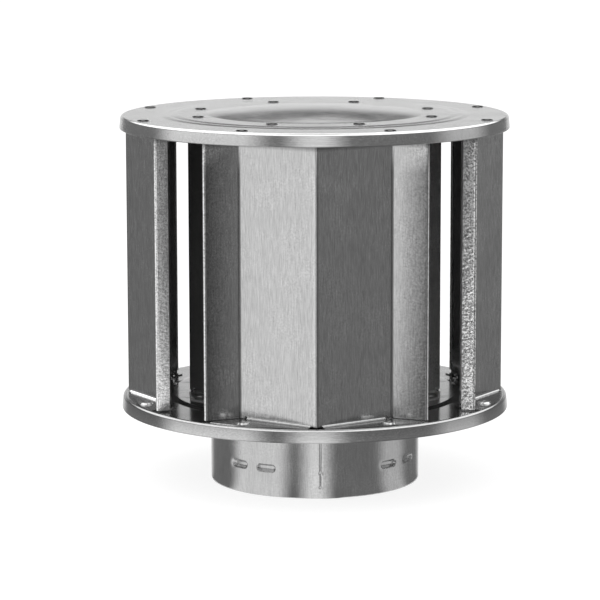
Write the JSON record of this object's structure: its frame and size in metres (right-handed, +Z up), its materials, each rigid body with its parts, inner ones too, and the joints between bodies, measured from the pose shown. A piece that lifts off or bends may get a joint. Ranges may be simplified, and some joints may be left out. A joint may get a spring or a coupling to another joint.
{
  "type": "gas vent cap",
  "caption": "Round gas vent cap: stamped top and base discs with folded wind baffles between them, and a dimpled collar that locks onto the vent pipe.",
  "frame": {"origin": "centre of the collar's bottom edge", "axes": "+Z up along the vent's axis; the front outer baffle's fold faces -Y; +X is the right outer baffle"},
  "size_m": [0.2116, 0.2116, 0.2042],
  "materials": {
    "disc_steel": "bright galvanised steel sheet with rolling streaks, satin",
    "baffle_steel": "galvanised steel sheet with fine upright grain, satin",
    "collar_steel": "galvanised steel sheet, satin, with faint mottling",
    "liner_aluminium": "mill-finish aluminium sheet"
  },
  "bodies": {
    "root": {"top_disc": "disc_steel", "base_disc": "disc_steel", "collar": "collar_steel", "flue_liner": "liner_aluminium", "outer_baffle_front": "baffle_steel", "outer_baffle_right": "baffle_steel", "outer_baffle_back": "baffle_steel", "outer_baffle_left": "baffle_steel", "inner_baffle_front_right": "baffle_steel", "inner_baffle_back_right": "baffle_steel", "inner_baffle_back_left": "baffle_steel", "inner_baffle_front_left": "baffle_steel"}
  },
  "joints": []
}
